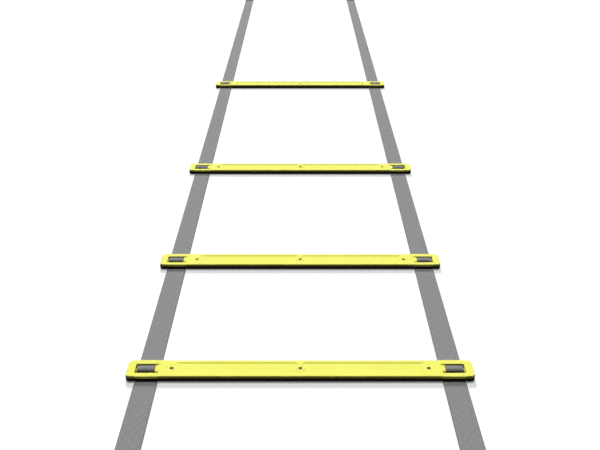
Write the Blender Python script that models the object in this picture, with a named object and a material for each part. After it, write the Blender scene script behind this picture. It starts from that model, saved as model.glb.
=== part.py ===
"""Agility ladder laid out on the floor.

Eight flat plastic rungs are threaded on two straps of webbing. Lengths are in metres, +Z is up, X runs
along the rungs and Y along the ladder. The origin is on the floor under the middle of the ladder.
"""
import math

import bmesh
import bpy

# The ladder as a whole
RUNG_COUNT = 8
RUNG_PITCH = 0.400
NEAR_TAIL_LENGTH = 0.250
FAR_TAIL_COUNT = 2
FAR_TAIL_SECTION_LENGTH = 0.550
# Rungs that stand off the middle of their section of strap, as a share of the pitch
RUNG_SLIDE_SHARES = {6: -0.25, 7: -0.25, 8: 0.25}

# Fits
CLEARANCE = 0.0003
CUT_OVERRUN = 0.002

# Rung, bar and base together
RUNG_LENGTH = 0.450
RUNG_DEPTH = 0.036
RUNG_HEIGHT = 0.009
RUNG_CORNER_RADIUS = 0.008
BASE_HEIGHT_SHARE = 11 / 18
FLANK_SLOPE = 0.0008
EDGE_ROUND = 0.0008
RAIL_BULGE = 0.0008
RAIL_BULGE_RAMP = 0.003

# Recessed panels in the top of the bar
PANEL_RECESS = 0.0005
PANEL_RIM = 0.0022
PANEL_MIDDLE_RIB = 0.0068
PANEL_CORNER_RADIUS = 0.0020

# Windows that take the strap
WINDOW_END_MARGIN = 0.011
WINDOW_LENGTH = 0.030
CROSSBAR_DEPTH = 0.013
CROSSBAR_ROUND = 0.0020
CROSSBAR_DROP = 0.0025
CROSSBAR_END = 0.0015
SLOT_WIDTH = 0.003

# Webbing
STRAP_WIDTH = 0.030
STRAP_WIDTH_IN_WINDOW = 0.0245
STRAP_THICKNESS = 0.0016
STRAP_END_MARGIN = 0.012
STRAP_UPPER_BEND = 0.0025
STRAP_LOWER_BEND = 0.0022
CHANNEL_SIDE_ROOM = 0.0008
HEM_LENGTH = 0.035
HEM_RAMP = 0.001
CREASE_GAP = 0.0004

# Rivets
RIVET_END_OFFSET = 0.058
RIVET_HEAD_RADIUS = 0.0023
RIVET_HEAD_THICKNESS = 0.0012
RIVET_SHANK_RADIUS = 0.0015
RIVET_TOP_SINK = 0.0003
RIVET_FOOT_SINK = 0.0006
RIVET_RING = 0.0035

# Mesh resolution
CORNER_STEPS = 3
SMALL_CORNER_STEPS = 3
BEND_STEPS = 3
ROUND_SIDES = 8
SHARP_ANGLE = 40

# Sizes that follow
BASE_THICKNESS = BASE_HEIGHT_SHARE * RUNG_HEIGHT
BAR_BOTTOM = BASE_THICKNESS + CLEARANCE
BAR_SHOULDER = RUNG_HEIGHT - EDGE_ROUND
CROSSBAR_TOP = RUNG_HEIGHT - STRAP_THICKNESS - 2 * CLEARANCE
SLOT_INNER = CROSSBAR_DEPTH / 2
SLOT_OUTER = SLOT_INNER + SLOT_WIDTH
SLOT_MIDDLE = SLOT_INNER + SLOT_WIDTH / 2
WINDOW_OUTER_X = RUNG_LENGTH / 2 - WINDOW_END_MARGIN
WINDOW_INNER_X = WINDOW_OUTER_X - WINDOW_LENGTH
STRAP_OUTER_X = RUNG_LENGTH / 2 - STRAP_END_MARGIN
STRAP_INNER_X = STRAP_OUTER_X - STRAP_WIDTH
STRAP_WINDOW_X = STRAP_OUTER_X - STRAP_WIDTH_IN_WINDOW
TAB_X = STRAP_WINDOW_X - CLEARANCE
CHANNEL_HEIGHT = STRAP_THICKNESS + CLEARANCE
FOLD_UP_Z = RUNG_HEIGHT + CLEARANCE
FOLD_DOWN_Z = -CLEARANCE
TAIL_FOLD_Z = 2 * STRAP_THICKNESS + CLEARANCE
FAR_TAIL_LENGTH = RUNG_PITCH / 2 + FAR_TAIL_COUNT * FAR_TAIL_SECTION_LENGTH
LADDER_LENGTH = NEAR_TAIL_LENGTH + (RUNG_COUNT - 1) * RUNG_PITCH + FAR_TAIL_LENGTH
NEAR_END_Y = -LADDER_LENGTH / 2

FINISHES = {
    "yellow_plastic": ((0.98, 0.96, 0.19), 0.38),
    "black_rubber": ((0.012, 0.012, 0.011), 0.75),
    "dark_rivet": ((0.05, 0.045, 0.02), 0.45),
    "grey_webbing": ((0.26, 0.26, 0.27), 0.85),
}


def clear_scene():
    for item in list(bpy.data.objects):
        bpy.data.objects.remove(item, do_unlink=True)


def make_finish(name):
    colour, roughness = FINISHES[name]
    material = bpy.data.materials.new(name)
    material.use_nodes = True
    shader = material.node_tree.nodes["Principled BSDF"]
    shader.inputs["Base Color"].default_value = (*colour, 1)
    shader.inputs["Roughness"].default_value = roughness
    shader.inputs["Metallic"].default_value = 0
    return material


def add_object(name, mesh):
    item = bpy.data.objects.new(name, mesh)
    bpy.context.scene.collection.objects.link(item)
    return item


def mesh_from(shape, name):
    bmesh.ops.recalc_face_normals(shape, faces=shape.faces)
    mesh = bpy.data.meshes.new(name)
    shape.to_mesh(mesh)
    shape.free()
    return mesh


def loft(name, rings):
    """Closed body through rings of points, each ring with as many points as the others."""
    shape = bmesh.new()
    loops = [[shape.verts.new(point) for point in ring] for ring in rings]
    count = len(loops[0])
    for low, high in zip(loops, loops[1:]):
        for i in range(count):
            j = (i + 1) % count
            shape.faces.new((low[i], low[j], high[j], high[i]))
    shape.faces.new(reversed(loops[0]))
    shape.faces.new(loops[-1])
    return mesh_from(shape, name)


def arc(centre, radius, start, end, steps):
    """Points on an arc, with angles in degrees."""
    angles = [math.radians(start + (end - start) * i / steps) for i in range(steps + 1)]
    return [(centre[0] + radius * math.cos(a), centre[1] + radius * math.sin(a)) for a in angles]


def rounded_box(x0, x1, y0, y1, radius, steps):
    """Outline of a rectangle with round corners, anticlockwise."""
    outline = []
    for cx, cy, start in (
        (x1 - radius, y0 + radius, -90),
        (x1 - radius, y1 - radius, 0),
        (x0 + radius, y1 - radius, 90),
        (x0 + radius, y0 + radius, 180),
    ):
        outline += arc((cx, cy), radius, start, start + 90, steps)
    return outline


def at_height(outline, z):
    return [(x, y, z) for x, y in outline]


def box_mesh(name, x0, x1, y0, y1, z0, z1):
    outline = [(x0, y0), (x1, y0), (x1, y1), (x0, y1)]
    return loft(name, [at_height(outline, z0), at_height(outline, z1)])


def turned_mesh(name, profile, centre_x):
    """Body turned about a vertical axis, from (radius, height) pairs, lowest first."""
    turns = [2 * math.pi * i / ROUND_SIDES for i in range(ROUND_SIDES)]
    rings = [[(centre_x + r * math.cos(a), r * math.sin(a), z) for a in turns] for r, z in profile]
    return loft(name, rings)


def carve(name, body, additions, cutters):
    """The body's mesh with every addition's, less every cutter's."""
    solid = add_object(name, body)
    tools = []
    steps = [("UNION", mesh) for mesh in additions] + [("DIFFERENCE", mesh) for mesh in cutters]
    for operation, mesh in steps:
        tool = add_object(f"{name}_{mesh.name}", mesh)
        tool.hide_render = True
        tool.display_type = "WIRE"
        tools.append(tool)
        step = solid.modifiers.new(tool.name, "BOOLEAN")
        step.operation = operation
        step.solver = "EXACT"
        step.object = tool
    evaluated = solid.evaluated_get(bpy.context.evaluated_depsgraph_get())
    result = bpy.data.meshes.new_from_object(evaluated)
    result.name = name
    for item in [solid] + tools:
        bpy.data.objects.remove(item, do_unlink=True)
    return result


def rung_outline(inset, bulge):
    """Plan of a rung, anticlockwise from the near left corner; the rails swell beside the windows."""
    half_x = RUNG_LENGTH / 2 - inset
    half_y = RUNG_DEPTH / 2 - inset
    radius = RUNG_CORNER_RADIUS - inset
    corner_x = half_x - radius
    corner_y = half_y - radius
    inner = WINDOW_INNER_X
    swell = (
        (inner - RAIL_BULGE_RAMP, half_y),
        (inner, half_y + bulge),
        (WINDOW_OUTER_X - RAIL_BULGE_RAMP, half_y + bulge),
    )
    outline = []
    outline += arc((-corner_x, -corner_y), radius, 180, 270, CORNER_STEPS)
    outline += [(-x, -y) for x, y in reversed(swell)]
    outline += [(x, -y) for x, y in swell]
    outline += arc((corner_x, -corner_y), radius, 270, 360, CORNER_STEPS)
    outline += arc((corner_x, corner_y), radius, 0, 90, CORNER_STEPS)
    outline += list(reversed(swell))
    outline += [(-x, y) for x, y in swell]
    outline += arc((-corner_x, corner_y), radius, 90, 180, CORNER_STEPS)
    return outline


def strap_way_profile():
    """Section through the window: two slots joined over the round-topped crossbar, as (y, z)."""
    low = BAR_BOTTOM - CUT_OVERRUN
    high = RUNG_HEIGHT + CUT_OVERRUN
    turn_y = SLOT_INNER - CROSSBAR_ROUND
    turn_z = CROSSBAR_TOP - CROSSBAR_ROUND
    profile = [(-SLOT_OUTER, low), (-SLOT_INNER, low)]
    profile += arc((-turn_y, turn_z), CROSSBAR_ROUND, 180, 90, SMALL_CORNER_STEPS)
    profile += arc((turn_y, turn_z), CROSSBAR_ROUND, 90, 0, SMALL_CORNER_STEPS)
    profile += [(SLOT_INNER, low), (SLOT_OUTER, low), (SLOT_OUTER, high), (-SLOT_OUTER, high)]
    return profile


def window_cutters(side):
    """Cutters for the window at one end of the bar; side is -1 on the left and 1 on the right."""
    rings = [[(side * x, y, z) for y, z in strap_way_profile()] for x in (TAB_X, WINDOW_OUTER_X)]
    cutters = [loft("strap_way", rings)]
    ends = sorted((side * (TAB_X + CLEARANCE), side * WINDOW_INNER_X))
    heights = (BAR_BOTTOM - CUT_OVERRUN, RUNG_HEIGHT + CUT_OVERRUN)
    for sign in (-1, 1):
        sides = sorted((sign * SLOT_INNER, sign * SLOT_OUTER))
        cutters.append(box_mesh("slot_end", *ends, *sides, *heights))
    return cutters


def crossbar_drop(side):
    """Lower part of a crossbar: it hangs in the base's opening and reaches under both window ends."""
    ends = sorted((side * (WINDOW_INNER_X - CROSSBAR_END), side * (WINDOW_OUTER_X + CROSSBAR_END)))
    reach = SLOT_INNER - CLEARANCE
    top = (BAR_BOTTOM + CROSSBAR_TOP) / 2
    return box_mesh("crossbar_drop", *ends, -reach, reach, BAR_BOTTOM - CROSSBAR_DROP, top)


def rivet_places():
    end = RUNG_LENGTH / 2 - RIVET_END_OFFSET
    return (-end, 0, end)


def bar_rivet_hole(x):
    shank = RIVET_SHANK_RADIUS + CLEARANCE
    head = RIVET_HEAD_RADIUS + CLEARANCE
    seat = RUNG_HEIGHT - RIVET_TOP_SINK - RIVET_HEAD_THICKNESS - CLEARANCE
    low = BAR_BOTTOM - CUT_OVERRUN
    high = RUNG_HEIGHT + CUT_OVERRUN
    return turned_mesh("bar_rivet_hole", ((shank, low), (shank, seat), (head, seat), (head, high)), x)


def base_rivet_hole(x):
    shank = RIVET_SHANK_RADIUS + CLEARANCE
    head = RIVET_HEAD_RADIUS + CLEARANCE
    seat = RIVET_FOOT_SINK + RIVET_HEAD_THICKNESS + CLEARANCE
    low = -CUT_OVERRUN
    high = BASE_THICKNESS + CUT_OVERRUN
    return turned_mesh("base_rivet_hole", ((head, low), (head, seat), (shank, seat), (shank, high)), x)


def panel_cutters():
    """The two shallow panels, between the end rivets' rings and the rib under the middle rivet."""
    inner = PANEL_MIDDLE_RIB / 2
    outer = rivet_places()[2] - RIVET_RING
    half_y = RUNG_DEPTH / 2 - FLANK_SLOPE - EDGE_ROUND - PANEL_RIM
    heights = (RUNG_HEIGHT - PANEL_RECESS, RUNG_HEIGHT + CUT_OVERRUN)
    cutters = []
    for x0, x1 in ((-outer, -inner), (inner, outer)):
        outline = rounded_box(x0, x1, -half_y, half_y, PANEL_CORNER_RADIUS, SMALL_CORNER_STEPS)
        cutters.append(loft("panel", [at_height(outline, z) for z in heights]))
    return cutters


def make_bar():
    body = loft("rung_bar_body", [
        at_height(rung_outline(0, RAIL_BULGE), BAR_BOTTOM),
        at_height(rung_outline(FLANK_SLOPE, RAIL_BULGE), BAR_SHOULDER),
        at_height(rung_outline(FLANK_SLOPE + EDGE_ROUND, RAIL_BULGE), RUNG_HEIGHT),
    ])
    cutters = window_cutters(-1) + window_cutters(1) + panel_cutters()
    cutters += [bar_rivet_hole(x) for x in rivet_places()]
    return carve("rung_bar", body, [crossbar_drop(-1), crossbar_drop(1)], cutters)


def make_base():
    """Non-slip base, with a channel under each rail for the strap and an opening under each window."""
    outline = rung_outline(0, 0)
    body = loft("rung_base_body", [at_height(outline, 0), at_height(outline, BASE_THICKNESS)])
    reach = RUNG_DEPTH / 2 + CUT_OVERRUN
    opening = SLOT_MIDDLE + STRAP_LOWER_BEND
    side_room = CHANNEL_SIDE_ROOM
    end_room = CROSSBAR_END + CHANNEL_SIDE_ROOM
    low = -CUT_OVERRUN
    high = BASE_THICKNESS + CUT_OVERRUN
    cutters = []
    for side in (-1, 1):
        channel = sorted((side * (STRAP_INNER_X - side_room), side * (STRAP_OUTER_X + side_room)))
        window = sorted((side * (WINDOW_INNER_X - end_room), side * (WINDOW_OUTER_X + end_room)))
        cutters.append(box_mesh("channel", *channel, -reach, reach, low, CHANNEL_HEIGHT))
        cutters.append(box_mesh("window", *window, -opening, opening, low, high))
    cutters += [base_rivet_hole(x) for x in rivet_places()]
    return carve("rung_base", body, [], cutters)


def make_rivet():
    """Rivet with a head at the top of the bar and a foot in the base."""
    foot = RIVET_FOOT_SINK
    head = RUNG_HEIGHT - RIVET_TOP_SINK
    profile = (
        (RIVET_HEAD_RADIUS, foot),
        (RIVET_HEAD_RADIUS, foot + RIVET_HEAD_THICKNESS),
        (RIVET_SHANK_RADIUS, foot + RIVET_HEAD_THICKNESS),
        (RIVET_SHANK_RADIUS, head - RIVET_HEAD_THICKNESS),
        (RIVET_HEAD_RADIUS, head - RIVET_HEAD_THICKNESS),
        (RIVET_HEAD_RADIUS, head),
    )
    mesh = turned_mesh("rivet", profile, 0)
    mesh.shade_smooth()
    mesh.set_sharp_from_angle(angle=math.radians(SHARP_ANGLE))
    return mesh


def station(y, z, lean, inner_x, rise=0):
    """Cross-section of a strap: its middle, the lean of its upper side in degrees, its inner edge."""
    half = STRAP_THICKNESS / 2
    dy = half * math.cos(math.radians(lean))
    dz = half * math.sin(math.radians(lean))
    return ((y - dy, z - dz), (y + dy, z + dz + rise), inner_x)


def strap_over_rung(rung_y):
    """Cross-sections of the far half of a strap's way through a rung, from the crossbar outwards."""
    middle = STRAP_THICKNESS / 2
    top = RUNG_HEIGHT - CLEARANCE - middle
    upper = (SLOT_MIDDLE - STRAP_UPPER_BEND, top - STRAP_UPPER_BEND)
    lower = (SLOT_MIDDLE + STRAP_LOWER_BEND, middle + STRAP_LOWER_BEND)
    stations = []
    for i in range(BEND_STEPS + 1):
        turn = 90 * i / BEND_STEPS
        y, z = arc(upper, STRAP_UPPER_BEND, 90 - turn, 90 - turn, 1)[0]
        stations.append((y, z, 90 - turn, STRAP_WINDOW_X))
    for i in range(BEND_STEPS + 1):
        turn = 90 * i / BEND_STEPS
        y, z = arc(lower, STRAP_LOWER_BEND, 180 + turn, 180 + turn, 1)[0]
        stations.append((y, z, turn, STRAP_WINDOW_X))
    stations.append((RUNG_DEPTH / 2, middle, 90, STRAP_INNER_X))
    far = [station(rung_y + y, z, lean, inner) for y, z, lean, inner in stations]
    near = [station(rung_y - y, z, 180 - lean, inner) for y, z, lean, inner in stations]
    return list(reversed(near)) + far


def flat_end(y, hem, outwards):
    """Cross-sections of a strap's flat end: plain, or folded back on itself as a hem."""
    middle = STRAP_THICKNESS / 2
    if not hem:
        return [station(y, middle, 90, STRAP_INNER_X)]
    start = y - outwards * HEM_LENGTH
    return [
        station(start, middle, 90, STRAP_INNER_X),
        station(start + outwards * HEM_RAMP, middle, 90, STRAP_INNER_X, STRAP_THICKNESS),
        station(y, middle, 90, STRAP_INNER_X, STRAP_THICKNESS),
    ]


def strap_mesh(name, side, stations):
    rings = []
    for under, over, inner_x in stations:
        edges = (side * inner_x, side * STRAP_OUTER_X)
        rings.append([
            (edges[0], *under),
            (edges[1], *under),
            (edges[1], *over),
            (edges[0], *over),
        ])
    return loft(name, rings)


def section_middle(number):
    return NEAR_END_Y + NEAR_TAIL_LENGTH + (number - 1) * RUNG_PITCH


def rung_place(number):
    return section_middle(number) + RUNG_SLIDE_SHARES.get(number, 0) * RUNG_PITCH


def crease_place(number):
    """Fold crease on the far side of a section; past the last rung the tail sections space them."""
    past = max(number - RUNG_COUNT, 0)
    return section_middle(min(number, RUNG_COUNT)) + RUNG_PITCH / 2 + past * FAR_TAIL_SECTION_LENGTH


def crease_height(number):
    """Creases fold up and down in turn, clear of the rungs, or of the hems on the last."""
    if number % 2 == 0:
        return FOLD_DOWN_Z
    return TAIL_FOLD_Z if number > RUNG_COUNT else FOLD_UP_Z


def add_axis(name, parent, place):
    """Empty on a joint's axis; it carries everything that moves on the joint."""
    empty = add_object(name, None)
    empty.parent = parent
    empty["place"] = place
    start = parent["place"] if parent else (0, 0, 0)
    empty.location = [a - b for a, b in zip(place, start)]
    return empty


def add_piece(name, mesh, axis, place, material):
    """Piece whose mesh is drawn about its place."""
    item = add_object(name, mesh)
    item.parent = axis
    item.location = [a - b for a, b in zip(place, axis["place"])]
    if not mesh.materials:
        mesh.materials.append(material)
    return item


def add_straps(kind, number, stations, axis, material):
    place = (0, 0, 0)
    for side_name, side in (("left", -1), ("right", 1)):
        name = f"{kind}_{side_name}_{number}"
        add_piece(name, strap_mesh(name, side, stations), axis, place, material)


def build_rung_section(number, axis, parts, finishes):
    near = crease_place(number - 1) + CREASE_GAP / 2
    far = crease_place(number) - CREASE_GAP / 2
    rung_y = rung_place(number)
    start = flat_end(NEAR_END_Y, True, -1)[::-1] if number == 1 else flat_end(near, False, -1)
    stations = start + strap_over_rung(rung_y) + flat_end(far, False, 1)
    add_straps("strap", number, stations, axis, finishes["grey_webbing"])
    place = (0, rung_y, 0)
    slide = add_axis(f"slide_{number}", axis, place)
    add_piece(f"rung_bar_{number}", parts["bar"], slide, place, finishes["yellow_plastic"])
    add_piece(f"rung_base_{number}", parts["base"], slide, place, finishes["black_rubber"])
    for side_name, x in zip(("left", "middle", "right"), rivet_places()):
        name = f"rivet_{side_name}_{number}"
        add_piece(name, parts["rivet"], slide, (x, rung_y, 0), finishes["dark_rivet"])


def build_tail_section(number, axis, finishes):
    crease = RUNG_COUNT + number - 1
    last = number == FAR_TAIL_COUNT
    near = crease_place(crease) + CREASE_GAP / 2
    far = crease_place(crease + 1) - (0 if last else CREASE_GAP / 2)
    stations = flat_end(near, False, -1) + flat_end(far, last, 1)
    add_straps("tail", number, stations, axis, finishes["grey_webbing"])


def build():
    clear_scene()
    finishes = {name: make_finish(name) for name in FINISHES}
    parts = {"bar": make_bar(), "base": make_base(), "rivet": make_rivet()}
    axis = add_axis("section_1_foot", None, (0, NEAR_END_Y, 0))
    build_rung_section(1, axis, parts, finishes)
    for number in range(2, RUNG_COUNT + 1):
        crease = number - 1
        axis = add_axis(f"fold_{crease}", axis, (0, crease_place(crease), crease_height(crease)))
        build_rung_section(number, axis, parts, finishes)
    for number in range(1, FAR_TAIL_COUNT + 1):
        crease = RUNG_COUNT + number - 1
        axis = add_axis(f"fold_{crease}", axis, (0, crease_place(crease), crease_height(crease)))
        build_tail_section(number, axis, finishes)


build()
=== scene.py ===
"""Agility ladder on a pale floor: moulded rungs, near-black bases that paint the shade under them, rivets
and woven webbing.
"""
import math

import bmesh
import bpy
from mathutils import Matrix


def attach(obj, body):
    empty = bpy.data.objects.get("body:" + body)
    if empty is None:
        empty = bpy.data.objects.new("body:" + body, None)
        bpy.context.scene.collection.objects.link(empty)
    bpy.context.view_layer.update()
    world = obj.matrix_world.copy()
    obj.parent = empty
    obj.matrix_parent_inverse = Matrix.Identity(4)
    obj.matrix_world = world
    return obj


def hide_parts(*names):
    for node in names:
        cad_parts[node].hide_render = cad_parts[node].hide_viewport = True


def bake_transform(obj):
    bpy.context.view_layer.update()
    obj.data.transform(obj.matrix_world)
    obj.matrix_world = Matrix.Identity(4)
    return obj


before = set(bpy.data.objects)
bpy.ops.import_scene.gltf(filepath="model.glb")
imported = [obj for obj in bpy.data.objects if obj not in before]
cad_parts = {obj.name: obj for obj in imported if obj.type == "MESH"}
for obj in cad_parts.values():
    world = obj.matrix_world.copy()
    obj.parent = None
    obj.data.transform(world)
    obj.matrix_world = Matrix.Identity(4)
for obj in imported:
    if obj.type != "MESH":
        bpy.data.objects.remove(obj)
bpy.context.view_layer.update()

MM = 0.001

# A grid line this near an edge counts as on it
ON_LINE = 0.00001

# Layout of the ladder, as in the frame; three rungs lie out of their even places
RUNG_COUNT = 8
SECTION_PITCH = 0.400
FIRST_SECTION_Y = -1.925
NEAR_END_Y = -2.175
FAR_END_Y = 2.175
TAIL_LENGTH = 0.550
RUNG_OFFSETS = {6: -0.100, 7: -0.100, 8: 0.100}
SIDES = {"left": -1, "right": 1}

# Outline of a rung
HALF_LENGTH = 0.225
HALF_DEPTH = 0.018
CORNER = 0.006
TOP_Z = 0.009
BAR_LOW_Z = 0.0058
BASE_TOP_Z = 0.0055
FLANK = 0.0003
EDGE = 0.0008
RIM_INSET = FLANK + EDGE

# Windows, slots and crossbars of a bar
WINDOW_IN = 0.184
WINDOW_OUT = 0.214
TAB_END = 0.1882
SLOT_IN = 0.0065
SLOT_OUT = 0.0095
SLOT_ROUND = 0.0007
SLOT_DROP = 0.0005
NEAR_RAIL_ROUND = 0.0022
NEAR_RAIL_DROP = 0.0013
BULGE = 0.0008
BULGE_RAMP = 0.003
BULGE_START_Y = SLOT_OUT + 0.002
CROSSBAR_NEAR = 0.0034
CROSSBAR_Z = 0.0070
CROSSBAR_LOW_Z = 0.0027
CROSSBAR_FOOT_Z = 0.0028
CROSSBAR_ROOT = 0.0014
CREST_Y = 0.0020
FAR_POWER = 3.5
NEAR_POWER = 2.0
CROWN = 0.0014
CROWN_POWER = 4
CROWN_FADE_SHARE = 0.55

# Recessed panel and rivet pads of a bar
PANEL_END = 0.1635
PANEL_MIDDLE = 0.0034
PANEL_SIDE = 0.0122
PANEL_CORNER = 0.0040
PANEL_DEPTH = 0.0008
PANEL_SLOPE = 0.0004
PANEL_END_SLOPE = 0.0060
PAD = 0.0052
PAD_SLOPE = 0.0012
PAD_GROOVE = 0.00045
PAD_GROOVE_DEPTH = 0.00012
PAD_RINGS_MM = (5.9, 5.65, 5.4, 5.2, 5.0, 4.8, 4.0, 3.2)

# Rivets and their holes; a hole's edge is given by radius and depth
RIVET_X = 0.167
RIVET_HEAD = 0.0023
RIVET_SHANK = 0.0015
RIVET_TOP_Z = 0.0087
RIVET_FOOT_Z = 0.0006
RIVET_FLANGE = 0.0012
RIVET_DOME = 0.00075
RIVET_LIP = 0.0002
DIMPLE = 0.0009
DIMPLE_EDGE = 0.0012
DIMPLE_DEPTH = 0.00025
DIMPLE_SIDE = 0.0002
HOLE = 0.0026
SHANK_HOLE = 0.0018
HOLE_SQUARE = 0.0065
BAR_HOLE_Z = 0.0072
BAR_HOLE_EDGE_MM = ((3.0, 0), (2.82, 0.04), (2.7, 0.14), (2.62, 0.35))
BASE_HOLE_Z = 0.0021
BASE_HOLE_EDGE_MM = ((4.6, 0), (3.0, 0), (2.7, 0.1), (2.6, 0.35))
BASE_TOP_RING = 0.0045

# Base; its top edge is given by distance in from the side and depth
BASE_INSET = 0.0016
BASE_BILGE = 0.0019
BASE_EDGE_MM = ((0.35, 0), (0.10, 0.2), (0, 0.5))
CHANNEL_IN = 0.1822
CHANNEL_OUT = 0.2138
CHANNEL_Z = 0.0019
OPENING_IN = 0.1817
OPENING_OUT = 0.2163
OPENING_Y = 0.0102
GRIP_PITCH = 0.006
GRIP_DEPTH = 0.00045
GRIP_SLOPE_SHARE = 0.15
GRIP_END_X = CHANNEL_IN - 0.003
GRIP_END_Y = 0.015

# Webbing; outside a rung it widens to its full width, by distance from the rung and inner edge
STRAP_IN = 0.183
STRAP_OUT = 0.213
STRAP_WINDOW_IN = 0.1885
STRAP_WIDTH = STRAP_OUT - STRAP_IN
WINDOW_MIDDLE = (STRAP_WINDOW_IN + STRAP_OUT) / 2
WINDOW_HALF = (STRAP_OUT - STRAP_WINDOW_IN) / 2
ARCH_FAR = 0.0059
ARCH_NEAR = 0.0063
ARCH_TOP_Z = 0.0081
ARCH_FOOT_Z = 0.0022
ARCH_STEPS = 14
TURN_STEPS = 8
STRAP_HALF = 0.0008
SELVEDGE = 0.0007
LOOP_REACH = 0.017
SPREAD = ((0.0125, 0.1866), (0.0150, 0.1836), (0.0163, STRAP_IN), (LOOP_REACH, STRAP_IN))
CREASE_REACH_UP = 0.0065
CREASE_REACH_DOWN = 0.0025
CREASE_REACH_TAIL = 0.0045
CREASE_ROWS = 16

# Hems and their stitches
HEM = 0.035
HEM_GAP = 0.0001
HEM_TURN_START = 0.003
STITCH_BOX_START = 0.009
STITCH_BOX_END = 0.031
STITCH_EDGE = 0.0035
STITCH_PITCH = 0.0031
STITCH_LENGTH = 0.0026
THREAD = 0.0004
THREAD_HEIGHT = 0.00028

# Weave, in millimetres, and the maps that place it and its painted shade in the slots
RIB_PITCH = 1.15
RIB_LEAN = 0.35
PICK_PITCH = 1.3
SPOT_COLUMN = 5.6
COLUMN_SHIFT = 10.5
SPOT_ROW = 16.0
SPOT_HALF_WIDTH = 1.9
SPOT_HALF_LENGTH = 3.0
DARK_EDGE_START = 13.6
DARK_EDGE_END = 14.8
WEAVE_MAP = "Weave"
# This map carries the painted shade of the webbing in the slots
SLOT_SHADE_MAP = "SlotShade"

# Camera, floor and light
CAMERA_PLACE = (-0.0003, -1.235, 0.6556)
CAMERA_TILT = 64.189
CAMERA_LENS = 50.83
FLOOR_CORNERS = ((-9, -7), (9, -7), (9, 16), (-9, 16))
FLOOR_Z = -0.0002
FLOOR_GLOW = 0.19
FILL_LIGHT = 0.05


def clamp(value):
    return max(0.0, min(1.0, value))


def ease(start, end, value):
    t = clamp((value - start) / (end - start))
    return t * t * (3 - 2 * t)


def between(start, end, count):
    """Evenly spaced values from start to end, both included."""
    return [start + (end - start) * i / count for i in range(count + 1)]


def section_y(number):
    return FIRST_SECTION_Y + (number - 1) * SECTION_PITCH


def rung_y(number):
    return section_y(number) + RUNG_OFFSETS.get(number, 0)


def crease_y(number):
    if number > RUNG_COUNT:
        return FAR_END_Y - TAIL_LENGTH
    return section_y(number) + SECTION_PITCH / 2


# Shader wiring
class Wire:
    """A value, colour or vector in a finish; arithmetic on values adds their Math nodes."""

    def __init__(self, finish, socket):
        self.finish = finish
        self.socket = socket

    def math(self, operation, *values):
        sockets = dict(enumerate(values))
        return self.finish.node("ShaderNodeMath", {"operation": operation}, sockets)

    def __add__(self, other):
        return self.math("ADD", self, other)

    def __radd__(self, other):
        return self.math("ADD", other, self)

    def __sub__(self, other):
        return self.math("SUBTRACT", self, other)

    def __rsub__(self, other):
        return self.math("SUBTRACT", other, self)

    def __mul__(self, other):
        return self.math("MULTIPLY", self, other)

    def __rmul__(self, other):
        return self.math("MULTIPLY", other, self)

    def __truediv__(self, other):
        return self.math("DIVIDE", self, other)

    def __rtruediv__(self, other):
        return self.math("DIVIDE", other, self)

    def __pow__(self, other):
        return self.math("POWER", self, other)

    def __rpow__(self, other):
        return self.math("POWER", other, self)

    def __abs__(self):
        return self.math("ABSOLUTE", self)

    def sine(self):
        return self.math("SINE", self)

    def fraction(self):
        return self.math("FRACT", self)

    def floor(self):
        return self.math("FLOOR", self)

    def largest(self, other):
        return self.math("MAXIMUM", self, other)

    def fade(self, start, end):
        """0 to 1, eased, while the value goes from start to end."""
        ends = {"From Min": start, "From Max": end, "To Min": 0.0, "To Max": 1.0}
        if start > end:
            ends = {"From Min": end, "From Max": start, "To Min": 1.0, "To Max": 0.0}
        settings = {"interpolation_type": "SMOOTHSTEP"}
        return self.finish.node("ShaderNodeMapRange", settings, {"Value": self, **ends})


class Finish:
    """The nodes of a material, or of the studio's world."""

    def __init__(self, owner):
        owner.use_nodes = True
        self.owner = owner
        self.tree = owner.node_tree
        self.tree.nodes.clear()

    def node(self, kind, settings=None, sockets=None, output=0):
        made = self.tree.nodes.new(kind)
        for name, value in (settings or {}).items():
            setattr(made, name, value)
        for name, value in (sockets or {}).items():
            socket = made.inputs[name]
            if isinstance(value, Wire):
                self.tree.links.new(value.socket, socket)
            else:
                socket.default_value = value
        return Wire(self, made.outputs[output]) if len(made.outputs) else None

    def place(self):
        """Place on the piece, in metres."""
        return self.node("ShaderNodeTexCoord", output="Object")

    def noise(self, vector, scale, detail=3.0, roughness=0.5):
        sockets = {"Vector": vector, "Scale": scale, "Detail": detail, "Roughness": roughness}
        return self.node("ShaderNodeTexNoise", {}, sockets)

    def stretch(self, vector, scale):
        return self.node("ShaderNodeMapping", {}, {"Vector": vector, "Scale": scale})

    def blend(self, share, first, second):
        """Colour mix: first at share 0, second at share 1."""
        sockets = {0: share, 6: first, 7: second}
        return self.node("ShaderNodeMix", {"data_type": "RGBA"}, sockets, output=2)

    def bump(self, height, distance):
        sockets = {"Height": height, "Distance": distance, "Strength": 1.0}
        return self.node("ShaderNodeBump", {}, sockets)

    def surface(self, **sockets):
        """Principled shader with these sockets, as the whole finish."""
        sockets = {name.replace("_", " "): value for name, value in sockets.items()}
        shader = self.node("ShaderNodeBsdfPrincipled", {}, sockets)
        self.node("ShaderNodeOutputMaterial", {}, {"Surface": shader})


def new_finish(name):
    return Finish(bpy.data.materials.new(name))


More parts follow.
